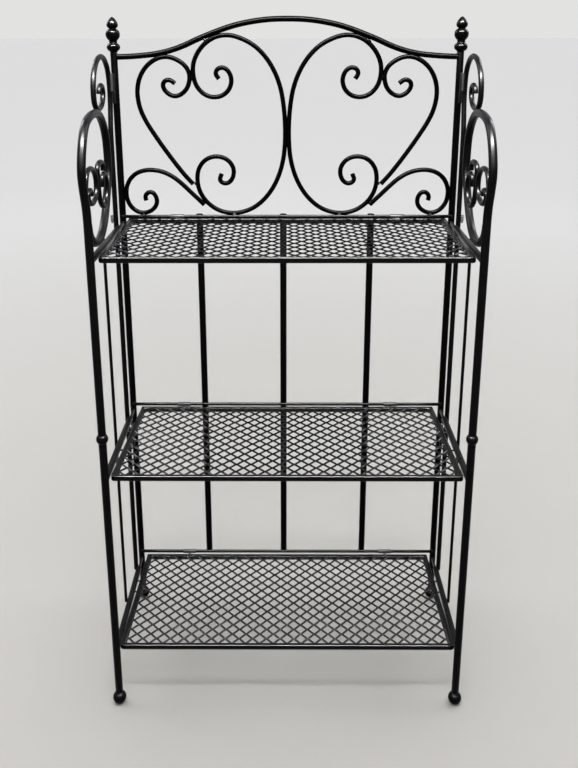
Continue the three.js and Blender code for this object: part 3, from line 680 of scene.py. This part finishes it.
# ---------------------------------------------------------------- side frames
for side, s in SIDES.items():
    body = f"{side}_side_frame"
    X = s * FRONT_POST_X
    ring = [at(s * (FRONT_POST_X + RING_LEAN * max(y, 0)), y, z) for y, z in RING]
    bent = curve_points(ring, 4.0, 10)
    low = [np.array(list(at(X, 0, z))) for z in np.linspace(15, 840, 14)]
    frame_piece(f"front_post_{side}_bent", *tube(low + list(bent), FRONT_POST_R, 28, 0.5), body, f"front_post_{side}")
    centre = math.sqrt(FOOT_R ** 2 - 25)
    frame_piece(f"front_foot_{side}_ball", *lathe(X, 0, [(0, 0)] + arc(FOOT_R, centre, 5, 7.6, 26) + [
        (7.8, centre + 10.3), (7.7, centre + 11.2), (7.1, centre + 11.9), (6.5, centre + 12.3), (0, centre + 12.3)], 44),
        body, f"front_foot_{side}")
    ball = arc(MID_BALL_R, MID_BALL_Z, 7.2, 7.2, 22)
    collar = [(6.6, MID_BALL_Z - 8.4), (7.0, MID_BALL_Z - 8.1)] + ball + [(7.0, MID_BALL_Z + 8.1), (6.6, MID_BALL_Z + 8.4)]
    frame_piece(f"post_ball_{side}_round", *lathe(X, 0, collar, 44), body, f"post_ball_{side}")

    for level in LEVELS:
        z0, z1 = SUPPORT_TOP[level] - 8, SUPPORT_TOP[level]
        outline = [(s * 317.6, 6.6), (s * 328, 6.6), (s * 328, 250.7), (s * 324, 252.4), (s * 324, 285), (s * 320, 285), (s * 320, 252.4), (s * 317.6, 250.7)]
        soup = Soup().add(*extrude_outline(outline, z0, z1, "z", 1.1, 3))
        peg_z = LEVEL[level] - SHELF_TALL - 2.0
        for y in PEGS[level]:
            soup.add(*straight(at(s * 303, y, peg_z), at(s * 321.5, y, peg_z), 1.8, 16, 0.5))
        frame_piece(f"{level}_support_{side}_bar", soup.verts, soup.faces, body, f"{level}_support_{side}")
        weld(body, s * 325.2, 5.6, (z0 + z1) / 2, 2.8, (0, 0, 1), 1.3)
        weld(body, s * 328.6, 252.4, (z0 + z1) / 2, 2.4, (0, 0, 1), 1.5)
        weld(body, s * 328.4, MID_ROD_Y, (z0 + z1) / 2, 1.8, (0, 0, 1), 1.8)

    bottom = SUPPORT_TOP["bottom"] - 8
    frame_piece(f"mid_rod_{side}_round", *straight(at(s * MID_ROD_X, MID_ROD_Y, bottom), at(s * MID_ROD_X, MID_ROD_Y, SUPPORT_TOP["top"]), MID_ROD_R, 20, 0.5, 8),
                body, f"mid_rod_{side}")

    loop = curve_points([at(s * REAR_ROD_X, y, z) for y, z in LOOP], 3.0, 8)
    low = [np.array(list(at(s * REAR_ROD_X, REAR_ROD_Y, z))) for z in np.linspace(bottom, 960, 12)]
    build(f"rear_rod_{side}_bent", *tube(low + list(loop), REAR_ROD_R, 24, 0.45), body, "frame_paint", M_SIDE,
          (f"rear_rod_{side}", f"rear_loop_{side}"), 34)
    x0 = REAR_ROD_X + 3
    lug = [(x0, 886), (x0 + 3.2, 880.4), (x0 + 5.4, 881.2), (x0 + 7.0, 887), (x0 + 7.0, 896), (x0 + 6.0, 897), (x0, 897)]
    build(f"rear_rod_{side}_lug", *extrude_outline([(s * u, v) for u, v in lug], REAR_ROD_Y - 1.5, REAR_ROD_Y + 1.5, "y", 0.35, 2),
          body, "frame_paint", M_LUG, (f"rear_rod_{side}",), 34)

    for label, shape, xx in (("rear", REAR_STRIP, REAR_STRIP_X), ("front", FRONT_STRIP, FRONT_STRIP_X)):
        pts = curve_points([at(s * xx, y, z) for y, z in shape], 2.0, 6)
        frame_piece(f"{label}_strip_{side}_bent", *tube(pts, STRIP_R, 20, 0.45), body, f"ring_strips_{side}")
    weld(body, s * 322.2, 92.3, 990, 2.3, (0, 0, 1), 2.4)
    weld(body, s * 321.4, 1.6, 966, 2.6, (0, 0, 1), 2.0)
    weld(body, s * 327.6, 152.0, 1103.4, 3.2, (0, 1, 0), 1.6)
    weld(body, s * 320.0, -3.4, 934, 3.6, (0, 0, 1), 1.6)
    weld(body, s * 320.8, 5.4, 926, 3.0, (0, 0.2, 1), 2.0)

    for name, (z0, zj, z1) in HINGES.items():
        soup = Soup().add(*straight(at(s * HINGE_X, HINGE_Y, z0), at(s * HINGE_X, HINGE_Y, zj), 3.0, 24, 0.4))
        soup.add(*straight(at(s * HINGE_X, HINGE_Y, zj - 2), at(s * HINGE_X, HINGE_Y, z1 + 0.0), 1.2, 14, 0.3))
        soup.add(*extrude_outline([(s * (HINGE_X - 1), HINGE_Y), (s * (HINGE_X + 1), HINGE_Y), (s * (HINGE_X + 1), 293.6), (s * (HINGE_X - 1), 293.6)], z0 + 0.2, zj - 0.2, "z", 0.3, 2))
        build(f"{name}_hinge_post_{side}_half", soup.verts, soup.faces, BF, "hinge_paint", M_HINGE, (f"{name}_hinge_post_{side}",))
        for zz in (z0 + 4, zj - 4):
            weld(BF, s * (HINGE_X + 1.0), 293.4, zz, 1.5, (0, 0, 1), 2.0)
        bore = [(1.55, zj + 0.3), (2.7, zj + 0.3), (3.0, zj + 0.6), (3.0, z1 - 0.3), (2.7, z1), (1.55, z1)]
        soup = Soup().add(*lathe(s * HINGE_X, HINGE_Y, bore, 28))
        soup.add(*extrude_outline([(s * (HINGE_X - 1.9), 252.7), (s * (HINGE_X + 0.1), 252.7), (s * (HINGE_X + 0.1), 281.6), (s * (HINGE_X - 1.9), 282.4)], zj + 0.5, z1 - 0.2, "z", 0.3, 2))
        build(f"{name}_hinge_leaf_{side}_half", soup.verts, soup.faces, body, "hinge_paint", M_HINGE, (f"{name}_hinge_leaf_{side}",))
        for zz in (zj + 5, z1 - 5):
            weld(body, s * 326.2, 256.6, zz, 1.5, (0, 0, 1), 2.0)

for body, soup in welds.items():
    if soup.verts:
        build(f"welds_{body}", soup.verts, soup.faces, body, "frame_paint", M_SIDE, (), 80)

# ---------------------------------------------------------------------- stage
floor_mesh = bpy.data.meshes.new("floor_plane")
floor_mesh.from_pydata([(-120, -120, 0), (120, -120, 0), (120, 120, 0), (-120, 120, 0)], [], [(0, 1, 2, 3)])
floor = bpy.data.objects.new("floor_plane", floor_mesh)
bpy.context.scene.collection.objects.link(floor)
floor_mat = bpy.data.materials.new("pale_floor")
floor_mat.use_nodes = True
fb = floor_mat.node_tree.nodes["Principled BSDF"]
# Painted falloff of light on the floor: its colour runs from a darker grey round the rack to a paler grey several
# metres out.
f_coord = floor_mat.node_tree.nodes.new("ShaderNodeTexCoord")
f_far = floor_mat.node_tree.nodes.new("ShaderNodeVectorMath")
f_far.operation = "LENGTH"
floor_mat.node_tree.links.new(f_coord.outputs["Object"], f_far.inputs[0])
f_map = floor_mat.node_tree.nodes.new("ShaderNodeMapRange")
f_map.interpolation_type = "SMOOTHSTEP"
f_map.inputs["From Min"].default_value = 0.3
f_map.inputs["From Max"].default_value = 4.5
floor_mat.node_tree.links.new(f_far.outputs["Value"], f_map.inputs["Value"])
f_painted_falloff = floor_mat.node_tree.nodes.new("ShaderNodeMix")
f_painted_falloff.data_type = "RGBA"
floor_mat.node_tree.links.new(f_map.outputs["Result"], f_painted_falloff.inputs["Factor"])
f_painted_falloff.inputs["A"].default_value = (0.44, 0.43, 0.41, 1)
f_painted_falloff.inputs["B"].default_value = (0.68, 0.68, 0.675, 1)
floor_mat.node_tree.links.new(f_painted_falloff.outputs["Result"], fb.inputs["Base Color"])
fb.inputs["Roughness"].default_value = 0.8
fb.inputs["Specular IOR Level"].default_value = 0.0
floor_mesh.materials.append(floor_mat)

world = bpy.data.worlds.new("soft_sky")
bpy.context.scene.world = world
world.use_nodes = True
wn, wl = world.node_tree.nodes, world.node_tree.links
sky = wn["Background"]
sky.inputs["Strength"].default_value = 2.5

# The rack sees a room that is bright behind it and above it and darker on the
# viewer's side; the backdrop itself stays one even pale tone.
w_coord = wn.new("ShaderNodeTexCoord")
w_split = wn.new("ShaderNodeSeparateXYZ")
wl.new(w_coord.outputs["Generated"], w_split.inputs["Vector"])
w_depth = wn.new("ShaderNodeValToRGB")
w_depth.color_ramp.elements[0].position = 0.25
w_depth.color_ramp.elements[0].color = (0.03, 0.03, 0.03, 1)
w_depth.color_ramp.elements[1].position = 0.85
w_depth.color_ramp.elements[1].color = (1.0, 1.0, 1.0, 1)
w_half = wn.new("ShaderNodeMapRange")
w_half.inputs["From Min"].default_value = -1.0
w_half.inputs["From Max"].default_value = 1.0
wl.new(w_split.outputs["Y"], w_half.inputs["Value"])
wl.new(w_half.outputs["Result"], w_depth.inputs["Fac"])
w_top = wn.new("ShaderNodeMapRange")
w_top.inputs["From Min"].default_value = 0.55
w_top.inputs["From Max"].default_value = 1.0
wl.new(w_split.outputs["Z"], w_top.inputs["Value"])
w_mix = wn.new("ShaderNodeMix")
w_mix.data_type = "RGBA"
wl.new(w_top.outputs["Result"], w_mix.inputs["Factor"])
wl.new(w_depth.outputs["Color"], w_mix.inputs["A"])
w_mix.inputs["B"].default_value = (0.36, 0.36, 0.37, 1)
w_path = wn.new("ShaderNodeLightPath")
w_seen = wn.new("ShaderNodeMix")
w_seen.data_type = "RGBA"
wl.new(w_path.outputs["Is Camera Ray"], w_seen.inputs["Factor"])
w_dim = wn.new("ShaderNodeMix")
w_dim.data_type = "RGBA"
w_dim.blend_type = "MULTIPLY"
wl.new(w_path.outputs["Is Glossy Ray"], w_dim.inputs["Factor"])
wl.new(w_mix.outputs["Result"], w_dim.inputs["A"])
w_dim.inputs["B"].default_value = (0.4, 0.4, 0.41, 1)
wl.new(w_dim.outputs["Result"], w_seen.inputs["A"])
w_seen.inputs["B"].default_value = (0.305, 0.305, 0.302, 1)
wl.new(w_seen.outputs["Result"], sky.inputs["Color"])


def softbox(name, place, target, width, height, watts, tint=(1, 1, 1)):
    data = bpy.data.lights.new(name, "AREA")
    data.shape = "RECTANGLE"
    data.size, data.size_y = width, height
    data.energy = watts
    data.color = tint
    ob = bpy.data.objects.new(name, data)
    ob.location = place
    ob.rotation_mode = "QUATERNION"
    ob.rotation_quaternion = (Vector(target) - Vector(place)).to_track_quat("-Z", "Y")
    ob.visible_camera = False
    bpy.context.scene.collection.objects.link(ob)
    return ob


softbox("softbox_top", (0.0, -0.9, 2.7), (0, 0, 0.7), 1.3, 0.22, 26.0)
softbox("softbox_left", (-2.2, 0.5, 2.2), (0, 0, 0.8), 0.5, 0.9, 14.0)
softbox("softbox_right", (2.2, 0.5, 2.2), (0, 0, 0.8), 0.5, 0.9, 14.0)

# Bright panels that only show in the gloss of the paint.
for panel in (softbox("gloss_front", (0.0, -0.95, 2.7), (0, 0, 0.7), 2.2, 0.3, 2600.0),
              softbox("gloss_left", (-1.5, 1.1, 2.3), (0, 0, 0.9), 0.45, 1.6, 60.0, (0.9, 0.91, 1.0)),
              softbox("gloss_right", (1.5, 1.1, 2.3), (0, 0, 0.9), 0.45, 1.6, 60.0, (0.9, 0.91, 1.0))):
    panel.visible_diffuse = False

scene = bpy.context.scene
scene.view_settings.view_transform = "Standard"
scene.view_settings.look = "None"

# --------------------------------------------------------------------- camera
F_PX, PP_X, PP_Y = 809.43, 282.94, 254.14
YAW, PITCH, ROLL = -0.00531, 0.27243, -0.001524
W_PX, H_PX = 578, 768
cam_data = bpy.data.cameras.new("camera")
cam = bpy.data.objects.new("camera", cam_data)
scene.collection.objects.link(cam)
scene.camera = cam
cam_data.sensor_fit = "AUTO"
cam_data.sensor_width = 36.0
cam_data.lens = F_PX * 36.0 / H_PX
cam_data.shift_x = (W_PX / 2 - PP_X) / H_PX
cam_data.shift_y = -(H_PX / 2 - PP_Y) / H_PX
cam_data.clip_start, cam_data.clip_end = 0.05, 100
forward = Vector((math.sin(YAW) * math.cos(PITCH), math.cos(YAW) * math.cos(PITCH), -math.sin(PITCH)))
flat_right = Vector((math.cos(YAW), -math.sin(YAW), 0))
flat_up = flat_right.cross(forward)
right = flat_right * math.cos(ROLL) + flat_up * math.sin(ROLL)
up = -flat_right * math.sin(ROLL) + flat_up * math.cos(ROLL)
spot = Vector((0.18, -1262.60 - DEPTH_CENTRE, 1242.66)) / 1000
turn = Matrix((right, up, -forward)).transposed().to_4x4()
cam.matrix_world = Matrix.Translation(spot) @ turn
